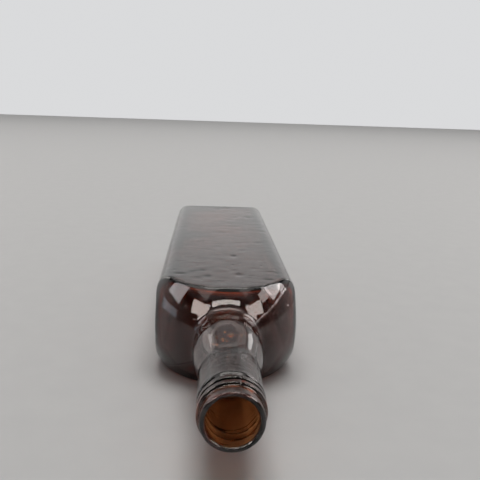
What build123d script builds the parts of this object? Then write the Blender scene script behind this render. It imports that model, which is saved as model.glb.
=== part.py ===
from build123d import *
import math
import os

# Glass bottle with a flat rectangular body, a domed shoulder, a barrel-shaped swelling in the neck and a
# continuous-thread finish. It lies on one of its two wide side panels. X is across the wide panel, Y runs from the
# mouth (negative) to the base (positive) and Z is up. The origin is the middle of the footprint, on the resting plane.

# Overall
LENGTH = 335.0          # lip to base
WIDTH = 75.0            # across the two wide panels, along X
THICKNESS = 52.0        # between the two wide panels, along Z
CORNER_R = 9.2          # long vertical corners of the body
HEEL_R = 4.5            # body sides to base
CREASE_R = 2.2          # flat panels to shoulder dome

# Shoulder dome: y = DOME_END - (DOME_END - DOME_TIP) * (1 - (r / DOME_R) ** DOME_Q) ** (1 / DOME_P)
DOME_TIP = 71.8         # where the dome would cross the axis, from the lip
DOME_END = 122.6        # where the dome reaches its full radius
DOME_R = 44.2
DOME_P = 2.085
DOME_Q = 1.65
DOME_MEETS_NECK_R = 22.6

# Neck
NECK_R = 13.8           # plain cylinder below the thread
NECK_START = 14.6       # from the lip
BULB_START = 37.5
BULB_R = 17.1           # the swelling
BULB_AT = 64.0
WAIST_R = 16.55         # between the swelling and the dome
WAIST_AT = 75.2

# Finish, 28 mm continuous thread
LIP_R = 12.5            # outside of the lip and root of the thread
LIP_ROUND = 1.05
FINISH_DRAFT = 0.06     # the root cylinder is this much larger in radius at its inner end
THREAD_R = 13.7         # thread crest
THREAD_PITCH = 4.23     # six turns to the inch
THREAD_TURNS = 2.1
THREAD_START = 4.95     # middle of the thread where it begins, from the lip
THREAD_START_ANGLE = 180  # about the axis from the top
THREAD_HALF_ROOT = 1.75
THREAD_HALF_CREST = 1.05
THREAD_SINK = 0.5       # how far the thread's foot stands inside the root cylinder

# Cavity
BORE_R = 10.2
BORE_END = 40.0
BULB_INSIDE_R = 13.3
WAIST_INSIDE_R = 12.9
WALL = 3.7              # panels
INSIDE_CORNER_R = 7.0
DOME_WALL = 4.2
BASE_THICKNESS = 6.5
INSIDE_HEEL_R = 5.5

# Base push-up
PUSH_UP = 2.2
PUSH_UP_MARGIN = 7.0    # width of the flat bearing rim

os.makedirs("parts", exist_ok=True)

MOUTH_Y = -LENGTH / 2
AXIS_Z = THICKNESS / 2


def cross_plane(distance):
    """The plane across the bottle at a distance from the lip, its normal towards the base."""
    return Plane(origin=(0, MOUTH_Y + distance, AXIS_Z), x_dir=(1, 0, 0), z_dir=(0, 1, 0))


def dome_y(r, tip, end, full_r):
    return end - (end - tip) * (1 - (r / full_r) ** DOME_Q) ** (1 / DOME_P)


def dome_slope(r, tip, end, full_r):
    step = 0.01
    return (dome_y(r + step, tip, end, full_r) - dome_y(r - step, tip, end, full_r)) / (2 * step)


def unit(dy, dr):
    size = math.hypot(dy, dr)
    return (dy / size, dr / size)


# Lengthwise half section: local x is the distance from the lip and local y is the radius.
section_plane = Plane(origin=(0, MOUTH_Y, AXIS_Z), x_dir=(0, 1, 0), z_dir=(1, 0, 0))
bottle_axis = Axis((0, MOUTH_Y, AXIS_Z), (0, 1, 0))

outer_radii = [DOME_MEETS_NECK_R, 25.0, 28.0, 31.0, 35.0, 38.5, 41.2, 43.0, 43.95]
outer_dome = [(dome_y(r, DOME_TIP, DOME_END, DOME_R), r) for r in outer_radii]
outer_dome.append((DOME_END, DOME_R))
outer_dome_start = unit(dome_slope(DOME_MEETS_NECK_R, DOME_TIP, DOME_END, DOME_R), 1)

round_45 = LIP_ROUND * math.sqrt(0.5)

inside_tip = DOME_TIP + DOME_WALL
inside_r = DOME_R - WALL
inside_radii = [17.5, 20.5, 24.0, 28.0, 32.0, 35.5, 38.0, 39.6, 40.3]
inside_dome = [(dome_y(r, inside_tip, DOME_END, inside_r), r) for r in inside_radii]
inside_dome.append((DOME_END, inside_r))
inside_dome_start = unit(dome_slope(inside_radii[0], inside_tip, DOME_END, inside_r), 1)

# Cavity: a bar and a turned form, each smaller than the bottle's by the wall. Its mouth flares round the lip.
with BuildPart() as cavity:
    with BuildSketch(cross_plane(-1)):
        RectangleRounded(WIDTH - 2 * WALL, THICKNESS - 2 * WALL, INSIDE_CORNER_R)
    extrude(amount=LENGTH - BASE_THICKNESS + 1)
    with BuildSketch(section_plane):
        with BuildLine():
            Polyline(
                (LENGTH, inside_r),
                (LENGTH, 0),
                (-1, 0),
                (-1, BORE_R + LIP_ROUND),
                (0, BORE_R + LIP_ROUND),
            )
            ThreePointArc(
                (0, BORE_R + LIP_ROUND),
                (LIP_ROUND - round_45, BORE_R + LIP_ROUND - round_45),
                (LIP_ROUND, BORE_R),
            )
            Line((LIP_ROUND, BORE_R), (BORE_END, BORE_R))
            Spline(
                (BORE_END, BORE_R),
                (48.0, 11.2),
                (57.0, 12.8),
                (BULB_AT, BULB_INSIDE_R),
                (WAIST_AT, WAIST_INSIDE_R),
                tangents=[(1, 0), (1, 0.02)],
            )
            Spline(
                (WAIST_AT, WAIST_INSIDE_R),
                inside_dome[0],
                tangents=[(1, 0.02), inside_dome_start],
                tangent_scalars=[0.9, 0.8],
            )
            Spline(*inside_dome, tangents=[inside_dome_start, (1, 0)])
            Line((DOME_END, inside_r), (LENGTH, inside_r))
        make_face()
    revolve(axis=bottle_axis, mode=Mode.INTERSECT)
    fillet(cavity.faces().sort_by(Axis.Y)[-1].edges(), radius=INSIDE_HEEL_R)

# Line of the thread: a right-hand helix that begins under the finish.
helix = Helix(
    pitch=THREAD_PITCH,
    height=THREAD_PITCH * THREAD_TURNS,
    radius=LIP_R,
    center=(0, MOUTH_Y + THREAD_START, AXIS_Z),
    direction=(0, 1, 0),
).rotate(bottle_axis, THREAD_START_ANGLE)

with BuildPart() as bottle:
    # A rounded rectangular bar as long as the bottle.
    with BuildSketch(cross_plane(0)):
        RectangleRounded(WIDTH, THICKNESS, CORNER_R)
    extrude(amount=LENGTH)

    # Everything that is turned about the axis: lip, neck, swelling, root fillet and dome. Keeping what the bar and the
    # turned form share leaves flat panels that run out in arches on the dome.
    with BuildSketch(section_plane):
        with BuildLine():
            Polyline(
                (LENGTH, DOME_R),
                (LENGTH, 0),
                (0, 0),
                (0, LIP_R - LIP_ROUND),
            )
            ThreePointArc(
                (0, LIP_R - LIP_ROUND),
                (LIP_ROUND - round_45, LIP_R - LIP_ROUND + round_45),
                (LIP_ROUND, LIP_R),
            )
            Polyline(
                (LIP_ROUND, LIP_R),
                (NECK_START - 1.2, LIP_R + FINISH_DRAFT),
                (NECK_START, NECK_R),
                (BULB_START, NECK_R),
            )
            Spline(
                (BULB_START, NECK_R),
                (46.0, 14.75),
                (55.0, 16.25),
                (BULB_AT, BULB_R),
                (WAIST_AT, WAIST_R),
                tangents=[(1, 0), (1, 0.02)],
            )
            Spline(
                (WAIST_AT, WAIST_R),
                outer_dome[0],
                tangents=[(1, 0.02), outer_dome_start],
                tangent_scalars=[0.9, 0.8],
            )
            Spline(*outer_dome, tangents=[outer_dome_start, (1, 0)])
            Line((DOME_END, DOME_R), (LENGTH, DOME_R))
        make_face()
    revolve(axis=bottle_axis, mode=Mode.INTERSECT)

    # Softened creases between the flat panels and the dome.
    dome_face = (
        bottle.faces()
        .filter_by(lambda f: f.geom_type not in (GeomType.PLANE, GeomType.CYLINDER, GeomType.CONE))
        .sort_by(SortBy.AREA)[-1]
    )
    creases = dome_face.edges().filter_by(lambda e: e.center().Y > MOUTH_Y + DOME_TIP + 9 and not e.is_closed)
    fillet(creases, radius=CREASE_R)

    # Heel.
    fillet(bottle.faces().sort_by(Axis.Y)[-1].edges(), radius=HEEL_R)
    base_rim = PUSH_UP_MARGIN + HEEL_R

    # Shallow push-up in the base.
    with BuildSketch(cross_plane(LENGTH)):
        RectangleRounded(WIDTH - 2 * base_rim, THICKNESS - 2 * base_rim, 5.0)
    with BuildSketch(cross_plane(LENGTH - PUSH_UP)):
        RectangleRounded(WIDTH - 2 * base_rim - 9, THICKNESS - 2 * base_rim - 9, 3.0)
    loft(mode=Mode.SUBTRACT)

    # Thread: a rounded ridge along the helix.
    start = helix @ 0
    outward = (start - Vector(0, start.Y, AXIS_Z)).normalized()
    with BuildSketch(Plane(origin=start, x_dir=outward, z_dir=helix % 0)):
        with BuildLine():
            Polyline(
                (-THREAD_SINK, -THREAD_HALF_ROOT),
                (THREAD_R - LIP_R, -THREAD_HALF_CREST),
                (THREAD_R - LIP_R, THREAD_HALF_CREST),
                (-THREAD_SINK, THREAD_HALF_ROOT),
                close=True,
            )
        make_face()
    before_thread = bottle.part.volume
    sweep(path=helix, is_frenet=True)
    print("thread stands out of the finish by", round(bottle.part.volume - before_thread), "cubic mm")

    # The cavity leaves the wall.
    add(cavity.part, mode=Mode.SUBTRACT)

bottle.part.label = "bottle"
export_step(bottle.part, "parts/bottle.step")

print("thread starts at", helix @ 0, "heading", helix % 0)
print("size", bottle.part.bounding_box().size)
print("glass volume", round(bottle.part.volume / 1000, 1), "ml")
print("brimful capacity", round(cavity.part.volume / 1000, 1), "ml")
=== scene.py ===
import math

import bpy
import numpy as np
from mathutils import Matrix, Vector


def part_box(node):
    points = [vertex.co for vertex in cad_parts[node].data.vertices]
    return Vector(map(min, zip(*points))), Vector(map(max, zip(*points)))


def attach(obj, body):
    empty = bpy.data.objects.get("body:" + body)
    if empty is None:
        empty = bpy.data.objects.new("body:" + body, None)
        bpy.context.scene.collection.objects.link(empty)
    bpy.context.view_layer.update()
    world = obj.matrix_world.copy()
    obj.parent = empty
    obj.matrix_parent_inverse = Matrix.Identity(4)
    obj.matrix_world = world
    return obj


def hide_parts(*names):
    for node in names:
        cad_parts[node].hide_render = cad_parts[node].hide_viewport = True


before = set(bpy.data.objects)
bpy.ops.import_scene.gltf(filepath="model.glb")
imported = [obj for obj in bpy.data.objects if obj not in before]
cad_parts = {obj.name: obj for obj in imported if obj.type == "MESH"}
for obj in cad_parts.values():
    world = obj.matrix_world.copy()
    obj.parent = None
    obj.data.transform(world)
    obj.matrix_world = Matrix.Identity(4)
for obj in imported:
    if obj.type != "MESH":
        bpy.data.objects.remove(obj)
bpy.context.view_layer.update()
low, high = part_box("bottle")

# ---------------------------------------------------------------------------------------------------------------------
# Sizes in millimetres. Along the bottle, y is the distance from the lip. phi goes round the axis from +X through +Z.
# ---------------------------------------------------------------------------------------------------------------------
LENGTH = (high.y - low.y) * 1000
HALF_W = (high.x - low.x) * 500
HALF_T = (high.z - low.z) * 500
MOUTH = low.y * 1000
AXIS_Z = (high.z + low.z) * 500

CORNER_R, HEEL_R = 9.2, 4.5
DOME_TIP, DOME_END, DOME_R, DOME_P, DOME_Q, DOME_MEETS = 71.8, 122.6, 44.2, 2.085, 1.65, 21.5
NECK_R, NECK_START, BULB_START = 13.8, 14.6, 37.5
BULB_R, BULB_AT, WAIST_R, WAIST_AT = 17.1, 64.0, 16.55, 75.2
LIP_R, LIP_ROUND, DRAFT = 12.5, 1.05, 0.06
THREAD_H, PITCH, TURNS, THREAD_START = 1.2, 4.23, 2.1, 4.95
BORE_R, BORE_END, BULB_IN, WAIST_IN = 10.2, 40.0, 13.3, 12.9
WALL, IN_CORNER, DOME_WALL, BASE_T, IN_HEEL = 3.7, 7.0, 4.2, 6.5, 5.5
PUSH_UP, PUSH_MARGIN = 2.2, 7.0
SEAMS = (math.radians(34.7), math.radians(214.7))   # mould parting lines, on two opposite corners
VENTS = (math.radians(76), math.radians(256))       # parting lines of the neck ring, which interrupt the thread

rng = np.random.default_rng(28)


# ---------------------------------------------------------------------------------------------------------------------
# Small tools
# ---------------------------------------------------------------------------------------------------------------------
def waves(points, length, seed, count=36, spread=0.35, stretch=(1, 1, 1)):
    """Smooth noise of about unit size: sines of a given wavelength in random directions."""
    r = np.random.default_rng(seed)
    d = r.normal(size=(count, 3))
    d /= np.linalg.norm(d, axis=1)[:, None]
    d *= (2 * np.pi / (length * (1 + spread * r.uniform(-1, 1, count))))[:, None]
    d /= np.asarray(stretch, float)[None]
    ph = r.uniform(0, 2 * np.pi, count)
    out = np.zeros(points.shape[:-1])
    for k in range(count):
        out += np.sin(points @ d[k] + ph[k])
    return out / math.sqrt(count / 2)


def rounded(phi, a, b, r):
    """Distance from the middle of a rounded rectangle to its edge, in the direction phi."""
    c, s = np.abs(np.cos(phi)), np.abs(np.sin(phi))
    c, s = np.maximum(c, 1e-9), np.maximum(s, 1e-9)
    side = a / c
    top = b / s
    cx, cz = a - r, b - r
    along = cx * c + cz * s
    arc = along + np.sqrt(np.maximum(along**2 - (cx**2 + cz**2 - r**2), 0))
    return np.where(side * s <= cz, side, np.where(top * c <= cx, top, arc))


def softer_min(p, q, k):
    h = np.clip(0.5 + 0.5 * (q - p) / k, 0, 1)
    return q * (1 - h) + p * h - k * h * (1 - h)


def hermite(points, slopes, n):
    """Points on a curve through the given points with the given slopes, n to a span."""
    out = []
    for (p0, p1), (m0, m1) in zip(zip(points, points[1:]), zip(slopes, slopes[1:])):
        p0, p1, m0, m1 = (np.asarray(v, float) for v in (p0, p1, m0, m1))
        d = np.linalg.norm(p1 - p0)
        m0, m1 = m0 / np.linalg.norm(m0) * d, m1 / np.linalg.norm(m1) * d
        t = np.linspace(0, 1, n, endpoint=False)[:, None]
        out.append((2 * t**3 - 3 * t**2 + 1) * p0 + (t**3 - 2 * t**2 + t) * m0 + (3 * t**2 - 2 * t**3) * p1 + (t**3 - t**2) * m1)
    out.append(np.asarray(points[-1], float)[None])
    return np.concatenate(out)


def spaced(line, step):
    line = np.asarray(line, float)
    along = np.concatenate([[0], np.cumsum(np.linalg.norm(np.diff(line, axis=0), axis=1))])
    at = np.linspace(0, along[-1], max(2, int(round(along[-1] / step)) + 1))
    return np.stack([np.interp(at, along, line[:, k]) for k in range(2)], axis=1)


def dome_y(r, tip, full):
    return DOME_END - (DOME_END - tip) * (1 - np.clip(r / full, 0, 1) ** DOME_Q) ** (1 / DOME_P)


def dome_line(start, tip, full):
    r = start + (full - start) * np.sin(np.linspace(0, np.pi / 2, 400))
    return np.stack([dome_y(r, tip, full), r], axis=1)


def direction(line, i):
    d = line[i + 1] - line[i]
    return d / np.linalg.norm(d)


# ---------------------------------------------------------------------------------------------------------------------
# Columns: directions round the axis, evenly spaced along the body's outline, closer together at the parting lines
# ---------------------------------------------------------------------------------------------------------------------
fine = np.linspace(0, 2 * np.pi, 20001)
edge = rounded(fine, HALF_W, HALF_T, CORNER_R)
xy = np.stack([edge * np.cos(fine), edge * np.sin(fine)], axis=1)
run = np.concatenate([[0], np.cumsum(np.linalg.norm(np.diff(xy, axis=0), axis=1))])
base_cols = np.interp(np.linspace(0, run[-1], 153)[:-1], run, fine)
clusters = [(s, (0, 0.25, 0.5, 0.9, 1.4, 2.1)) for s in SEAMS] + [(v, (0, 0.9, 1.8, 2.8)) for v in VENTS]
keep = np.ones(len(base_cols), bool)
extra = []
for centre, offsets in clusters:
    gap = np.abs((base_cols - centre + np.pi) % (2 * np.pi) - np.pi)
    keep &= gap > math.radians(offsets[-1] + 0.35)
    for o in offsets:
        extra += [centre - math.radians(o), centre + math.radians(o)] if o else [centre]
PHI = np.sort(np.unique(np.round(np.concatenate([base_cols[keep], extra]) % (2 * np.pi), 9)))
COLS = len(PHI)

# ---------------------------------------------------------------------------------------------------------------------
# Rows of the outside, from the crown of the lip to the middle of the base
# ---------------------------------------------------------------------------------------------------------------------
outside_edge = rounded(PHI, HALF_W, HALF_T, CORNER_R)
inside_edge = rounded(PHI, HALF_W - WALL, HALF_T - WALL, IN_CORNER)

t = np.linspace(0, np.pi / 2, 8)
lip_out = np.stack([LIP_ROUND - LIP_ROUND * np.cos(t), LIP_R - LIP_ROUND + LIP_ROUND * np.sin(t)], axis=1)
finish = spaced([(LIP_ROUND, LIP_R), (NECK_START - 1.5, LIP_R + DRAFT)], 0.12)[1:]
collar = spaced(hermite([(NECK_START - 1.5, LIP_R + DRAFT), (NECK_START + 0.3, NECK_R)], [(1.2, 0.35), (1.2, 0.2)], 12), 0.24)[1:]
neck = spaced([(NECK_START + 0.3, NECK_R), (BULB_START, NECK_R)], 0.5)[1:]
bulb_line = hermite(
    [(BULB_START, NECK_R), (46.0, 14.75), (55.0, 16.25), (BULB_AT, BULB_R), (WAIST_AT, WAIST_R)],
    [(1, 0), (1, 0.155), (1, 0.145), (1, 0.01), (1, 0.02)],
    12,
)
bulb = spaced(bulb_line, 1.0)[1:]
dome_all = dome_line(DOME_MEETS, DOME_TIP, DOME_R)
root = spaced(hermite([(WAIST_AT, WAIST_R), tuple(dome_all[0])], [(1, 0.02), tuple(direction(dome_all, 0))], 40), 0.4)[1:]
dome = spaced(dome_all, 0.8)[1:]
crease_rows = spaced(dome_all[(dome_all[:, 0] > 82.4) & (dome_all[:, 0] < 88.5)], 0.42)
dome = np.concatenate([dome[dome[:, 0] < crease_rows[0, 0] - 0.1], crease_rows, dome[dome[:, 0] > crease_rows[-1, 0] + 0.2]])
body_rows = spaced([(DOME_END, DOME_R + 2), (LENGTH - HEEL_R, DOME_R + 2)], 1.5)[1:]
turned = np.concatenate([lip_out, finish, collar, neck, bulb, root, dome])

rows_y, rows_r = [], []
for y, r in turned:
    rows_y.append(np.full(COLS, y))
    rows_r.append(softer_min(np.full(COLS, r), outside_edge, 0.34))
for y, r in body_rows:
    rows_y.append(np.full(COLS, y))
    rows_r.append(outside_edge.copy())
for a in np.linspace(0, np.pi / 2, 10)[1:]:
    inset = HEEL_R * (1 - math.cos(a))
    rows_y.append(np.full(COLS, LENGTH - HEEL_R + HEEL_R * math.sin(a)))
    rows_r.append(rounded(PHI, HALF_W - inset, HALF_T - inset, max(CORNER_R - inset, 2.5)))
rim_inner = HEEL_R + PUSH_MARGIN
for inset in np.linspace(HEEL_R, rim_inner, 5)[1:]:
    rows_y.append(np.full(COLS, LENGTH))
    rows_r.append(rounded(PHI, HALF_W - inset, HALF_T - inset, 5.0))
for k in np.linspace(0, 1, 8)[1:]:
    inset = rim_inner + 4.5 * k
    rows_y.append(np.full(COLS, LENGTH - PUSH_UP * (k * k * (3 - 2 * k))))
    rows_r.append(rounded(PHI, HALF_W - inset, HALF_T - inset, 5.0 - 1.5 * k))
last = rows_r[-1]
for k in np.linspace(1, 0, 9)[1:-1]:
    rows_y.append(np.full(COLS, LENGTH - PUSH_UP - 0.25 * (1 - k * k)))
    rows_r.append(last * k)
OUT_Y, OUT_R = np.array(rows_y), np.array(rows_r)
n_out = len(OUT_Y)

# ---------------------------------------------------------------------------------------------------------------------
# Rows of the inside, from the middle of the floor of the cavity back to the lip
# ---------------------------------------------------------------------------------------------------------------------
in_tip, in_full = DOME_TIP + DOME_WALL, DOME_R - WALL
in_dome_all = dome_line(17.5, in_tip, in_full)
in_bulb_line = hermite(
    [(BORE_END, BORE_R), (48.0, 11.2), (57.0, 12.8), (BULB_AT, BULB_IN), (WAIST_AT, WAIST_IN)],
    [(1, 0), (1, 0.16), (1, 0.14), (1, 0.01), (1, 0.02)],
    12,
)
in_root = hermite([(WAIST_AT, WAIST_IN), tuple(in_dome_all[0])], [(1, 0.02), tuple(direction(in_dome_all, 0))], 40)
t = np.linspace(np.pi / 2, 0, 8)[1:]
lip_in = np.stack([LIP_ROUND - LIP_ROUND * np.cos(t), BORE_R + LIP_ROUND - LIP_ROUND * np.sin(t)], axis=1)[::-1]
in_turned = np.concatenate(
    [
        lip_in,
        spaced([(LIP_ROUND, BORE_R), (BORE_END, BORE_R)], 2.4),
        spaced(in_bulb_line, 1.5)[1:],
        spaced(in_root, 0.8)[1:],
        spaced(in_dome_all, 1.1)[1:],
    ]
)
floor_y = LENGTH - BASE_T
in_rows = []
for y, r in in_turned:
    in_rows.append((np.full(COLS, y), softer_min(np.full(COLS, r), inside_edge, 1.6)))
for y in np.arange(DOME_END + 3.2, floor_y - IN_HEEL - 1, 3.2):
    in_rows.append((np.full(COLS, y), inside_edge.copy()))
for a in np.linspace(0, np.pi / 2, 8):
    inset = IN_HEEL * (1 - math.cos(a))
    in_rows.append(
        (
            np.full(COLS, floor_y - IN_HEEL + IN_HEEL * math.sin(a)),
            rounded(PHI, HALF_W - WALL - inset, HALF_T - WALL - inset, max(IN_CORNER - inset * 0.6, 3.5)),
        )
    )
last = in_rows[-1][1]
for k in np.linspace(1, 0, 8)[1:-1]:
    in_rows.append((np.full(COLS, floor_y - 0.9 * (1 - k * k)), last * k))
IN_Y = np.array([r[0] for r in in_rows])
IN_R = np.array([r[1] for r in in_rows])

# ---------------------------------------------------------------------------------------------------------------------
# Surface form: thread, parting lines, and the unevenness of moulded glass
# ---------------------------------------------------------------------------------------------------------------------
P = np.broadcast_to(PHI, OUT_Y.shape)


def smooth(x, lo, hi):
    k = np.clip((x - lo) / (hi - lo), 0, 1)
    return k * k * (3 - 2 * k)


def turn_gap(phi, centre):
    return (phi - centre + np.pi) % (2 * np.pi) - np.pi


# Thread: a right-hand ridge that begins at the bottom (phi = 270 degrees) and runs clockwise as seen from the mouth.
clock = (1.5 * np.pi - P) % (2 * np.pi)
thread = np.zeros_like(OUT_R)
for n in range(3):
    theta = clock + 2 * np.pi * n
    fade = smooth(theta, 0.0, 0.55) * (1 - smooth(theta, TURNS * 2 * np.pi - 0.9, TURNS * 2 * np.pi))
    u = np.abs(OUT_Y - (THREAD_START + PITCH * theta / (2 * np.pi)))
    thread = np.maximum(thread, fade * (1 - smooth(u, 0.90, 1.62)))
vent = np.zeros_like(OUT_R)
for v in VENTS:
    vent = np.maximum(vent, np.exp(-((np.degrees(turn_gap(P, v)) / 1.7) ** 2)))
on_finish = (OUT_Y < NECK_START + 1) & (np.arange(n_out)[:, None] >= len(lip_out))
thread = np.where(on_finish, thread, 0) * (1 - 0.15 * vent)
OUT_R = np.where(on_finish, np.maximum(OUT_R, LIP_R + THREAD_H * thread * 1.0), OUT_R)

X = OUT_R * np.cos(P)
Z = OUT_R * np.sin(P)
pts = np.stack([X, OUT_Y, Z], axis=-1)

# Inward only, so that the outside never leaves its nominal size.
on_body = smooth(OUT_Y, 84, 100) * (1 - smooth(OUT_Y, LENGTH - 12, LENGTH - 4))
flat_side = np.clip(1 - np.abs(np.abs(Z) - HALF_T) / 1.0, 0, 1) * np.clip((HALF_W - 6 - np.abs(X)) / 10, 0, 1)
flat_edge = np.clip(1 - np.abs(np.abs(X) - HALF_W) / 1.0, 0, 1) * np.clip((HALF_T - 6 - np.abs(Z)) / 8, 0, 1)
sink = 0.22 * on_body * (flat_side + 0.8 * flat_edge)
big = waves(pts, 55, 1, stretch=(1, 1.6, 1))
mid = waves(pts, 15, 2, stretch=(1, 0.7, 1))
small = waves(pts, 6.2, 3, stretch=(1.3, 0.75, 1))
patch = 0.5 + 0.5 * np.clip(waves(pts, 48, 4), -1.2, 1.2) / 1.2
uneven = 0.060 * (big + 1.6) + 0.018 * (mid + 2.0) + 0.0075 * patch * (small + 2.2)
calm = 0.35 + 0.65 * smooth(OUT_Y, 16, 60)
dent = np.zeros_like(OUT_R)
for face, count in ((1, 74), (0, 26), (2, 16), (3, 16)):
    for k in range(count):
        y0 = LENGTH - 14 - (LENGTH - 110) * rng.uniform(0, 1) ** (1.5 if face == 1 else 1.0)
        if face < 2:
            x0, z0 = rng.uniform(-HALF_W + 7, HALF_W - 7), HALF_T * (1 if face else -1)
        else:
            x0, z0 = HALF_W * (1 if face == 3 else -1), rng.uniform(-HALF_T + 8, HALF_T - 8)
        rad = rng.uniform(1.1, 2.3)
        away = ((X - x0) / rad) ** 2 + ((OUT_Y - y0) / (rad * rng.uniform(0.9, 1.8))) ** 2 + ((Z - z0) / rad) ** 2
        dent = np.maximum(dent, rad * rng.uniform(0.045, 0.12) * np.exp(-(away**1.5)))
lower = uneven * calm + sink + dent * on_body
on_finish_or_lip = OUT_Y < NECK_START + 1
rings = np.zeros_like(OUT_R)
for y0, depth, width in ((17.6, 0.035, 0.5), (20.3, 0.025, 0.6), (23.5, 0.045, 0.55), (27.2, 0.03, 0.7), (31.0, 0.04, 0.6), (35.2, 0.03, 0.8)):
    wobble = 0.5 * np.sin(P * 2 + y0) + 0.3 * np.sin(P * 5 + 2 * y0)
    strength = 0.6 + 0.4 * np.sin(P * 3 + y0 * 1.7)
    rings += depth * strength * np.exp(-(((OUT_Y - y0 - wobble) / width) ** 2))
streaks = 0.040 * (waves(np.stack([P * 13.8, OUT_Y, 0 * P], axis=-1), 5.0, 21, stretch=(1, 9, 1)) + 2.0)
around = smooth(turn_gap(P, np.pi), -np.pi, -np.pi + 0.35) * (1 - smooth(turn_gap(P, np.pi), np.pi - 0.35, np.pi))
lower += rings + streaks * around * smooth(OUT_Y, 15, 18) * (1 - smooth(OUT_Y, 66, 76))
lower = np.where(on_finish_or_lip, 0.10 * uneven, lower)
seam_rise = np.zeros_like(OUT_R)
for s in SEAMS:
    d = turn_gap(P, s) * OUT_R
    seam_rise = np.maximum(seam_rise, np.exp(-((d / 0.28) ** 2)))
seam_rise *= 0.24 * smooth(OUT_Y, NECK_START + 1, NECK_START + 6) * (1 - smooth(OUT_Y, LENGTH - 3, LENGTH - 0.5))

gr = np.gradient(OUT_R, axis=0)
gy = np.gradient(OUT_Y, axis=0)
size = np.maximum(np.hypot(gr, gy), 1e-6)
normal_r, normal_y = gy / size, -gr / size
move = seam_rise - lower
keep_flat = 1 - smooth(OUT_Y, LENGTH - 3, LENGTH - 0.2)
OUT_R2 = OUT_R + move * normal_r * np.maximum(keep_flat, 0.15)
OUT_Y2 = OUT_Y + move * normal_y * keep_flat
OUT_Y2 = np.minimum(OUT_Y2, LENGTH)

PI = np.broadcast_to(PHI, IN_Y.shape)
ipts = np.stack([IN_R * np.cos(PI), IN_Y, IN_R * np.sin(PI)], axis=-1)
in_free = smooth(IN_Y, 3, 30)
in_wave = 0.42 * waves(ipts, 75, 11, stretch=(1, 1.5, 1)) + 0.045 * waves(ipts, 30, 12, stretch=(1, 1.4, 1)) + 0.008 * waves(ipts, 11, 13)
corner = np.exp(-(((np.abs(ipts[..., 0]) - HALF_W + WALL + 2) / 6) ** 2 + ((np.abs(ipts[..., 2]) - HALF_T + WALL + 2) / 6) ** 2))
IN_R2 = IN_R - in_free * (in_wave * (0.5 + 0.5 * smooth(IN_Y, 80, 110)) + 0.5 * corner)
bore_streaks = 0.10 * waves(np.stack([PI * BORE_R, IN_Y, 0 * PI], axis=-1), 5.5, 31, stretch=(1, 8, 1))
bore_around = smooth(turn_gap(PI, np.pi), -np.pi, -np.pi + 0.35) * (1 - smooth(turn_gap(PI, np.pi), np.pi - 0.35, np.pi))
IN_R2 += bore_streaks * bore_around * smooth(IN_Y, 2, 7) * (1 - smooth(IN_Y, 62, 80))
IN_R2 = np.where(IN_R < 6, IN_R, IN_R2)


def place(y, r, phi):
    return np.stack([r * np.cos(phi), MOUTH + y, AXIS_Z + r * np.sin(phi)], axis=-1)


outer = place(OUT_Y2, OUT_R2, P)
outer[..., 2] = np.clip(outer[..., 2], 0.0, 2 * HALF_T)
inner = place(IN_Y, IN_R2, PI)[::-1]          # floor of the cavity first, lip last
grid = np.concatenate([inner, outer])
rows = len(grid)
verts = [grid.reshape(-1, 3)]
start_pole = np.array([[0, MOUTH + floor_y - 0.9, AXIS_Z]])
end_pole = np.array([[0, MOUTH + LENGTH - PUSH_UP - 0.25, AXIS_Z]])
i = np.arange(rows - 1)[:, None] * COLS
k = np.arange(COLS)[None]
k2 = (k + 1) % COLS
quads = np.stack([i + k, i + k2, i + COLS + k2, i + COLS + k], axis=-1).reshape(-1, 4)
pole_a, pole_b = rows * COLS, rows * COLS + 1
k, k2 = k[0], k2[0]
tris_a = np.stack([np.full(COLS, pole_a), k2, k], axis=-1)
tail = (rows - 1) * COLS
tris_b = np.stack([np.full(COLS, pole_b), tail + k, tail + k2], axis=-1)
verts += [start_pole, end_pole]
faces = [list(map(int, f)) for f in quads] + [list(map(int, f)) for f in tris_a] + [list(map(int, f)) for f in tris_b]
points = np.concatenate(verts)


def signed_volume(points, faces):
    total = 0.0
    for f in faces:
        a = points[f[0]]
        for n in range(1, len(f) - 1):
            total += float(np.dot(a, np.cross(points[f[n]], points[f[n + 1]])))
    return total / 6


# Seeds: small bubbles shut in the glass. Their skins face into the bubble, out of the glass.
seed_rng = np.random.default_rng(7)
blobs = []


def wall_point(y, phi, depth):
    """A point inside the wall at a depth from 0, outside, to 1, inside."""
    row = int(np.argmin(np.abs(OUT_Y[:, 0] - y) + 1e3 * (np.arange(n_out) > n_out - 28)))
    ro = np.interp(phi % (2 * np.pi), PHI, OUT_R2[row], period=2 * np.pi)
    irow = int(np.argmin(np.abs(IN_Y[:, 0] - OUT_Y[row, 0])))
    ri = np.interp(phi % (2 * np.pi), PHI, IN_R2[irow], period=2 * np.pi)
    r = ro + (ri - ro) * depth
    return np.array([r * math.cos(phi), MOUTH + OUT_Y[row, 0], AXIS_Z + r * math.sin(phi)]), abs(ro - ri)


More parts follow.
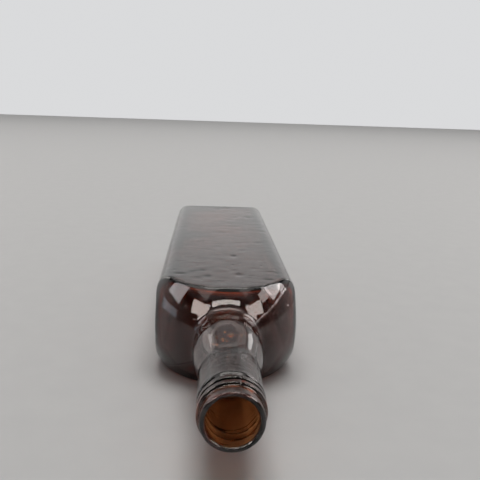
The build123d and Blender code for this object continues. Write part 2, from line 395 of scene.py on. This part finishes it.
for _ in range(46):
    y = seed_rng.uniform(98, LENGTH - 16)
    phi = seed_rng.uniform(0, 2 * np.pi)
    blobs.append((y, phi, seed_rng.uniform(0.3, 0.7), seed_rng.uniform(0.14, 0.36), seed_rng.uniform(1.3, 2.6)))
for _ in range(12):
    y = seed_rng.uniform(20, 72)
    blobs.append((y, seed_rng.uniform(0, 2 * np.pi), seed_rng.uniform(0.35, 0.65), seed_rng.uniform(0.16, 0.34), seed_rng.uniform(1.2, 1.8)))
for y, deg, size_mm in ((50.3, 87.7, 1.25), (47.6, 103, 0.75), (46.0, 96, 0.6), (53.0, 98, 0.5), (46.4, 121, 0.7), (44.4, 115, 0.45), (50.6, 113, 0.4)):
    blobs.append((y, math.radians(deg), 0.5, size_mm, 1.15))
RING, STACK = 10, 6
for y, phi, depth, size_mm, stretch in blobs:
    centre, wall = wall_point(y, phi, depth)
    size_mm = min(size_mm, 0.36 * wall)
    first = len(points)
    th = np.linspace(0, np.pi, STACK + 1)[1:-1]
    ph = np.linspace(0, 2 * np.pi, RING, endpoint=False)
    ring = np.stack(
        [
            np.outer(np.sin(th), np.cos(ph)) * size_mm,
            np.repeat(np.cos(th)[:, None], RING, 1) * size_mm * stretch,
            np.outer(np.sin(th), np.sin(ph)) * size_mm,
        ],
        axis=-1,
    ).reshape(-1, 3)
    caps = np.array([[0, size_mm * stretch, 0], [0, -size_mm * stretch, 0]])
    points = np.concatenate([points, ring + centre, caps + centre])
    blob = []
    for a in range(STACK - 2):
        for b in range(RING):
            c = (b + 1) % RING
            blob.append([first + a * RING + b, first + a * RING + c, first + (a + 1) * RING + c, first + (a + 1) * RING + b])
    top, bottom = first + (STACK - 1) * RING, first + (STACK - 1) * RING + 1
    for b in range(RING):
        c = (b + 1) % RING
        blob.append([top, first + c, first + b])
        blob.append([bottom, first + (STACK - 2) * RING + b, first + (STACK - 2) * RING + c])
    local = points - centre
    if signed_volume(local, blob) > 0:
        blob = [f[::-1] for f in blob]
    faces += blob

if signed_volume(points, faces) < 0:
    faces = [f[::-1] for f in faces]

mesh = bpy.data.meshes.new("bottle_glass")
mesh.from_pydata((points / 1000).tolist(), [], faces)
mesh.validate()
mesh.update()
mesh.polygons.foreach_set("use_smooth", np.ones(len(mesh.polygons), bool))
bottle = bpy.data.objects.new("bottle_glass", mesh)
bpy.context.scene.collection.objects.link(bottle)


# ---------------------------------------------------------------------------------------------------------------------
# Glass
# ---------------------------------------------------------------------------------------------------------------------
def node(tree, kind, at=(0, 0), **values):
    n = tree.nodes.new(kind)
    n.location = at
    for name, value in values.items():
        if name in n.inputs:
            n.inputs[name].default_value = value
        else:
            setattr(n, name, value)
    return n


def amber_glass():
    mat = bpy.data.materials.new("amber_glass")
    mat.use_nodes = True
    tree = mat.node_tree
    tree.nodes.clear()
    link = tree.links.new
    out = node(tree, "ShaderNodeOutputMaterial", (900, 0))
    glass = node(tree, "ShaderNodeBsdfPrincipled", (560, 0))
    glass.inputs["Transmission Weight"].default_value = 1.0
    glass.inputs["IOR"].default_value = 1.52
    glass.inputs["Metallic"].default_value = 0.0
    coord = node(tree, "ShaderNodeTexCoord", (-1500, 0))

    # Colour: faint streaks in the melt.
    streak_map = node(tree, "ShaderNodeMapping", (-1300, 260))
    streak_map.inputs["Scale"].default_value = (1.0, 0.22, 1.0)
    link(coord.outputs["Object"], streak_map.inputs["Vector"])
    streak = node(tree, "ShaderNodeTexNoise", (-1080, 260))
    streak.inputs["Scale"].default_value = 95.0
    streak.inputs["Detail"].default_value = 4.0
    streak.inputs["Distortion"].default_value = 0.8
    link(streak_map.outputs["Vector"], streak.inputs["Vector"])
    tint = node(tree, "ShaderNodeValToRGB", (-860, 260))
    tint.color_ramp.elements[0].position = 0.3
    tint.color_ramp.elements[0].color = (0.93, 0.89, 0.85, 1)
    tint.color_ramp.elements[1].position = 0.75
    tint.color_ramp.elements[1].color = (1.0, 0.985, 0.97, 1)
    link(streak.outputs["Fac"], tint.inputs["Fac"])
    link(tint.outputs["Color"], glass.inputs["Base Color"])

    # Roughness: polished, with patches of handling haze.
    haze = node(tree, "ShaderNodeTexNoise", (-1080, -20))
    haze.inputs["Scale"].default_value = 38.0
    haze.inputs["Detail"].default_value = 6.0
    haze.inputs["Roughness"].default_value = 0.62
    link(coord.outputs["Object"], haze.inputs["Vector"])
    haze_amount = node(tree, "ShaderNodeMapRange", (-860, -20))
    haze_amount.inputs["From Min"].default_value = 0.42
    haze_amount.inputs["From Max"].default_value = 0.78
    haze_amount.inputs["To Min"].default_value = 0.018
    haze_amount.inputs["To Max"].default_value = 0.10
    link(haze.outputs["Fac"], haze_amount.inputs["Value"])
    rub = node(tree, "ShaderNodeTexNoise", (-1080, 40))
    rub.inputs["Scale"].default_value = 260.0
    rub.inputs["Detail"].default_value = 6.0
    rub_map = node(tree, "ShaderNodeMapping", (-1300, 40))
    rub_map.inputs["Scale"].default_value = (0.35, 1.0, 0.35)
    link(coord.outputs["Object"], rub_map.inputs["Vector"])
    link(rub_map.outputs["Vector"], rub.inputs["Vector"])
    where = node(tree, "ShaderNodeSeparateXYZ", (-1080, 140))
    link(coord.outputs["Object"], where.inputs["Vector"])
    rubbed = node(tree, "ShaderNodeMapRange", (-860, 140))
    rubbed.inputs["From Min"].default_value = -0.120
    rubbed.inputs["From Max"].default_value = -0.136
    rubbed.inputs["To Max"].default_value = 0.12
    link(where.outputs["Y"], rubbed.inputs["Value"])
    rub_level = node(tree, "ShaderNodeMapRange", (-860, 60))
    rub_level.inputs["From Min"].default_value = 0.38
    rub_level.inputs["From Max"].default_value = 0.72
    link(rub.outputs["Fac"], rub_level.inputs["Value"])
    rub_part = node(tree, "ShaderNodeMath", (-640, 100), operation="MULTIPLY")
    link(rub_level.outputs["Result"], rub_part.inputs[0])
    link(rubbed.outputs["Result"], rub_part.inputs[1])
    rough = node(tree, "ShaderNodeMath", (-420, 20), operation="ADD")
    link(haze_amount.outputs["Result"], rough.inputs[0])
    link(rub_part.outputs["Value"], rough.inputs[1])
    link(rough.outputs["Value"], glass.inputs["Roughness"])

    # Relief finer than the mesh: the ripple of a chilled mould, and fine pits.
    ripple_map = node(tree, "ShaderNodeMapping", (-1300, -320))
    ripple_map.inputs["Scale"].default_value = (0.8, 1.35, 1.0)
    link(coord.outputs["Object"], ripple_map.inputs["Vector"])
    ripple = node(tree, "ShaderNodeTexNoise", (-1080, -320))
    ripple.inputs["Scale"].default_value = 330.0
    ripple.inputs["Detail"].default_value = 3.0
    ripple.inputs["Distortion"].default_value = 0.6
    link(ripple_map.outputs["Vector"], ripple.inputs["Vector"])
    ripple_bump = node(tree, "ShaderNodeBump", (-420, -300))
    ripple_bump.inputs["Strength"].default_value = 0.5
    ripple_bump.inputs["Distance"].default_value = 0.00006
    link(ripple.outputs["Fac"], ripple_bump.inputs["Height"])
    pit_map = node(tree, "ShaderNodeMapping", (-1300, -600))
    pit_map.inputs["Scale"].default_value = (1.0, 0.42, 1.0)
    link(coord.outputs["Object"], pit_map.inputs["Vector"])
    pits = node(tree, "ShaderNodeTexVoronoi", (-1080, -600))
    pits.inputs["Scale"].default_value = 250.0
    link(pit_map.outputs["Vector"], pits.inputs["Vector"])
    pit_size = node(tree, "ShaderNodeSeparateColor", (-860, -760))
    link(pits.outputs["Color"], pit_size.inputs["Color"])
    pit_reach = node(tree, "ShaderNodeMapRange", (-640, -760))
    pit_reach.inputs["From Min"].default_value = 0.25
    pit_reach.inputs["From Max"].default_value = 1.0
    pit_reach.inputs["To Min"].default_value = 0.02
    pit_reach.inputs["To Max"].default_value = 0.26
    link(pit_size.outputs["Red"], pit_reach.inputs["Value"])
    pit_shape = node(tree, "ShaderNodeMapRange", (-640, -600))
    pit_shape.interpolation_type = "SMOOTHSTEP"
    pit_shape.inputs["From Min"].default_value = 0.0
    link(pits.outputs["Distance"], pit_shape.inputs["Value"])
    link(pit_reach.outputs["Result"], pit_shape.inputs["From Max"])
    pit_bump = node(tree, "ShaderNodeBump", (-200, -420))
    pit_bump.inputs["Strength"].default_value = 0.8
    pit_bump.inputs["Distance"].default_value = 0.00035
    pit_where = node(tree, "ShaderNodeSeparateXYZ", (-860, -480))
    link(coord.outputs["Object"], pit_where.inputs["Vector"])
    pit_body = node(tree, "ShaderNodeMapRange", (-640, -480))
    pit_body.inputs["From Min"].default_value = -0.092
    pit_body.inputs["From Max"].default_value = -0.070
    pit_body.inputs["To Min"].default_value = 0.10
    link(pit_where.outputs["Y"], pit_body.inputs["Value"])
    pit_height = node(tree, "ShaderNodeMath", (-420, -560), operation="MULTIPLY")
    link(pit_shape.outputs["Result"], pit_height.inputs[0])
    link(pit_body.outputs["Result"], pit_height.inputs[1])
    link(pit_height.outputs["Value"], pit_bump.inputs["Height"])
    link(ripple_bump.outputs["Normal"], pit_bump.inputs["Normal"])
    split = node(tree, "ShaderNodeSeparateXYZ", (-1300, -900))
    link(coord.outputs["Object"], split.inputs["Vector"])
    on_neck = node(tree, "ShaderNodeMapRange", (-1080, -900))
    on_neck.inputs["From Min"].default_value = -0.122
    on_neck.inputs["From Max"].default_value = -0.134
    link(split.outputs["Y"], on_neck.inputs["Value"])
    line_map = node(tree, "ShaderNodeMapping", (-1080, -1120))
    line_map.inputs["Scale"].default_value = (0.09, 1.0, 0.09)
    link(coord.outputs["Object"], line_map.inputs["Vector"])
    lines = node(tree, "ShaderNodeTexNoise", (-860, -1120))
    lines.inputs["Scale"].default_value = 900.0
    lines.inputs["Detail"].default_value = 5.0
    lines.inputs["Roughness"].default_value = 0.6
    link(line_map.outputs["Vector"], lines.inputs["Vector"])
    line_height = node(tree, "ShaderNodeMath", (-640, -1000), operation="MULTIPLY")
    link(lines.outputs["Fac"], line_height.inputs[0])
    link(on_neck.outputs["Result"], line_height.inputs[1])
    line_bump = node(tree, "ShaderNodeBump", (20, -560))
    line_bump.inputs["Strength"].default_value = 0.8
    line_bump.inputs["Distance"].default_value = 0.00009
    past_thread = node(tree, "ShaderNodeMapRange", (-860, -1300))
    past_thread.inputs["From Min"].default_value = -0.1535
    past_thread.inputs["From Max"].default_value = -0.1505
    past_thread.inputs["To Min"].default_value = 0.06
    link(split.outputs["Y"], past_thread.inputs["Value"])
    line_part = node(tree, "ShaderNodeMath", (-420, -1000), operation="MULTIPLY")
    link(line_height.outputs["Value"], line_part.inputs[0])
    link(past_thread.outputs["Result"], line_part.inputs[1])
    link(line_part.outputs["Value"], line_bump.inputs["Height"])
    link(pit_bump.outputs["Normal"], line_bump.inputs["Normal"])
    link(line_bump.outputs["Normal"], glass.inputs["Normal"])

    depth = node(tree, "ShaderNodeVolumeAbsorption", (560, -420))
    depth.inputs["Color"].default_value = (0.695, 0.42, 0.11, 1)
    depth.inputs["Density"].default_value = 860.0
    link(glass.outputs["BSDF"], out.inputs["Surface"])
    link(depth.outputs["Volume"], out.inputs["Volume"])
    return mat


glass_material = amber_glass()
mesh.materials.append(glass_material)
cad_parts["bottle"].data.materials.clear()
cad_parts["bottle"].data.materials.append(glass_material)
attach(bottle, "root")
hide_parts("bottle")


# ---------------------------------------------------------------------------------------------------------------------
# Stage
# ---------------------------------------------------------------------------------------------------------------------
def stage_plane(name, size, at):
    m = bpy.data.meshes.new(name)
    s = size / 2
    m.from_pydata([(-s, -s, 0), (s, -s, 0), (s, s, 0), (-s, s, 0)], [], [(0, 1, 2, 3)])
    o = bpy.data.objects.new(name, m)
    o.location = at
    bpy.context.scene.collection.objects.link(o)
    return o


def floor_material():
    mat = bpy.data.materials.new("floor")
    mat.use_nodes = True
    tree = mat.node_tree
    bsdf = tree.nodes["Principled BSDF"]
    coord = node(tree, "ShaderNodeTexCoord", (-900, 0))
    grain = node(tree, "ShaderNodeTexNoise", (-700, 0))
    grain.inputs["Scale"].default_value = 60.0
    grain.inputs["Detail"].default_value = 5.0
    tree.links.new(coord.outputs["Object"], grain.inputs["Vector"])
    ramp = node(tree, "ShaderNodeValToRGB", (-480, 0))
    ramp.color_ramp.elements[0].color = (0.55, 0.55, 0.555, 1)
    ramp.color_ramp.elements[1].color = (0.59, 0.59, 0.59, 1)
    tree.links.new(grain.outputs["Fac"], ramp.inputs["Fac"])
    tree.links.new(ramp.outputs["Color"], bsdf.inputs["Base Color"])
    bsdf.inputs["Roughness"].default_value = 0.55
    bsdf.inputs["Specular IOR Level"].default_value = 0.3
    return mat


floor = stage_plane("floor", 12.0, (0, 0, -0.00005))
floor.data.materials.append(floor_material())

scene = bpy.context.scene
world = bpy.data.worlds.new("studio")
scene.world = world
world.use_nodes = True
wt = world.node_tree
wt.nodes.clear()
w_out = node(wt, "ShaderNodeOutputWorld", (600, 0))
w_back = node(wt, "ShaderNodeBackground", (200, 120))
w_back.inputs["Color"].default_value = (0.70, 0.705, 0.715, 1)
w_room = node(wt, "ShaderNodeBackground", (200, -120))
w_mix = node(wt, "ShaderNodeMixShader", (420, 0))
w_path = node(wt, "ShaderNodeLightPath", (0, 340))
w_coord = node(wt, "ShaderNodeTexCoord", (-800, -120))
w_split = node(wt, "ShaderNodeSeparateXYZ", (-600, -120))
w_range = node(wt, "ShaderNodeMapRange", (-400, -120))
w_range.inputs["From Min"].default_value = -1.0
w_range.inputs["From Max"].default_value = 1.0
w_ramp = node(wt, "ShaderNodeValToRGB", (-200, -120))
w_ramp.color_ramp.elements[0].position = 0.25
w_ramp.color_ramp.elements[0].color = (0.10, 0.098, 0.095, 1)
w_ramp.color_ramp.elements[1].position = 0.80
w_ramp.color_ramp.elements[1].color = (0.72, 0.715, 0.71, 1)
wt.links.new(w_coord.outputs["Generated"], w_split.inputs["Vector"])
wt.links.new(w_split.outputs["Y"], w_range.inputs["Value"])
wt.links.new(w_range.outputs["Result"], w_ramp.inputs["Fac"])
w_height = node(wt, "ShaderNodeValToRGB", (-200, -420))
heights = w_height.color_ramp
heights.elements[0].position, heights.elements[0].color = 0.28, (1, 1, 1, 1)
heights.elements[1].position, heights.elements[1].color = 0.58, (1, 1, 1, 1)
for at, level in ((0.33, 0.70), (0.39, 0.70), (0.43, 0.08), (0.53, 0.08)):
    heights.elements.new(at).color = (level, level, level, 1)
w_both = node(wt, "ShaderNodeMixRGB", (20, -260))
w_both.blend_type = "MULTIPLY"
w_both.inputs["Fac"].default_value = 1.0
wt.links.new(w_split.outputs["Z"], w_height.inputs["Fac"])
wt.links.new(w_ramp.outputs["Color"], w_both.inputs[1])
wt.links.new(w_height.outputs["Color"], w_both.inputs[2])
wt.links.new(w_both.outputs["Color"], w_room.inputs["Color"])
w_fill = node(wt, "ShaderNodeMapRange", (20, 60))
w_fill.inputs["To Min"].default_value = 1.0
w_fill.inputs["To Max"].default_value = 0.62
wt.links.new(w_path.outputs["Is Diffuse Ray"], w_fill.inputs["Value"])
wt.links.new(w_fill.outputs["Result"], w_room.inputs["Strength"])
wt.links.new(w_path.outputs["Is Camera Ray"], w_mix.inputs["Fac"])
wt.links.new(w_room.outputs["Background"], w_mix.inputs[1])
wt.links.new(w_back.outputs["Background"], w_mix.inputs[2])
wt.links.new(w_mix.outputs["Shader"], w_out.inputs["Surface"])


def softbox(name, at, target, width, height, power, colour=(1, 1, 1)):
    light = bpy.data.lights.new(name, "AREA")
    light.shape = "RECTANGLE"
    light.size, light.size_y = width, height
    light.energy = power
    light.color = colour
    o = bpy.data.objects.new(name, light)
    bpy.context.scene.collection.objects.link(o)
    o.location = at
    o.rotation_mode = "QUATERNION"
    o.rotation_quaternion = (Vector(target) - Vector(at)).to_track_quat("-Z", "Y")
    o.visible_camera = False
    return o


def reflected(name, azimuth, elevation, wide, tall, radiance, colour=(1, 1, 1), spin=0.0):
    """A soft panel far off, seen in the gloss of the glass only. Azimuth 0 is +Y and 90 is +X; sizes are in degrees."""
    far = 6.0
    a, e = math.radians(azimuth), math.radians(elevation)
    at = Vector((math.sin(a) * math.cos(e), math.cos(a) * math.cos(e), math.sin(e))) * far + Vector((0, -0.08, 0.03))
    w, h = 2 * far * math.tan(math.radians(wide / 2)), 2 * far * math.tan(math.radians(tall / 2))
    o = softbox(name, at, (0, -0.08, 0.03), w, h, radiance * math.pi * w * h, colour)
    o.visible_diffuse = False
    if spin:
        o.rotation_quaternion = o.rotation_quaternion @ Matrix.Rotation(math.radians(spin), 3, "Z").to_quaternion()
    return o


softbox("overhead", (0.3, 0.7, 7.0), (0, 0.0, 0), 4.8, 3.8, 285.0, (1.0, 0.985, 0.96)).visible_glossy = False
reflected("ceiling", 180, 78, 56, 24, 4.6, (1.0, 0.95, 0.90))
reflected("ceiling_near", 180, 40.5, 42, 9, 9.5, (1.0, 0.93, 0.87))
reflected("ceiling_left", -136, 25.5, 32, 19, 8.0, (1.0, 0.93, 0.88))
reflected("ceiling_right", 132, 25, 32, 19, 7.6, (1.0, 0.93, 0.88))
reflected("ceiling_side_left", -112, 54, 40, 22, 1.2, (1.0, 0.95, 0.92))
reflected("ceiling_side_right", 112, 58, 36, 20, 1.0, (1.0, 0.95, 0.92))
reflected("room", 180, 56, 80, 14, 0.35, (1.0, 0.96, 0.94))
reflected("window_right", 80, 34, 32, 27, 6.5, (1.0, 0.96, 0.95))
reflected("window_right_low", 70, 21, 13, 10, 5.0, (1.0, 0.96, 0.95))
reflected("window_left", -87, 28, 24, 24, 4.2, (0.98, 0.98, 1.0))
reflected("door_left", -86, 4, 26, 9, 1.5, (0.78, 0.88, 1.0))
reflected("front_top", 0, 49, 44, 12, 1.6, (1.0, 0.97, 0.94))
reflected("front_glow", 2, 31.5, 64, 8, 0.9, (1.0, 0.94, 0.90))
reflected("root_right", 103, 33, 15, 12, 4.5, (1.0, 0.95, 0.92))
reflected("root_left", -41, 24, 15, 11, 1.9, (1.0, 0.95, 0.92))
reflected("front_lamp", 37, 14, 8, 11, 2.6, (1.0, 0.98, 0.96))
reflected("front_lamp_left", -33, 18, 12, 20, 0.6, (1.0, 0.93, 0.88))

# ---------------------------------------------------------------------------------------------------------------------
# Camera
# ---------------------------------------------------------------------------------------------------------------------
camera_data = bpy.data.cameras.new("camera")
camera = bpy.data.objects.new("camera", camera_data)
scene.collection.objects.link(camera)
psi, tilt, roll = 0.0564, 0.2190, 0.0342
forward = Vector((math.sin(psi) * math.cos(tilt), math.cos(psi) * math.cos(tilt), -math.sin(tilt)))
right = Vector((math.cos(psi), -math.sin(psi), 0.0))
up = right.cross(forward)
right_rolled = right * math.cos(roll) + up * math.sin(roll)
up_rolled = up * math.cos(roll) - right * math.sin(roll)
turn = Matrix((right_rolled, up_rolled, -forward)).transposed().to_4x4()
camera.matrix_world = Matrix.Translation(
    Vector((-0.2858 * HALF_W, MOUTH - 5.2347 * HALF_W, 3.6983 * HALF_W)) / 1000
) @ turn
camera_data.sensor_fit = "HORIZONTAL"
camera_data.sensor_width = 36.0
camera_data.lens = 590 * 36 / 480
camera_data.clip_start, camera_data.clip_end = 0.01, 50
camera_data.dof.use_dof = False
scene.camera = camera

scene.view_settings.view_transform = "Standard"
scene.view_settings.look = "None"

print("faces", len(mesh.polygons), "columns", COLS, "rows", rows)
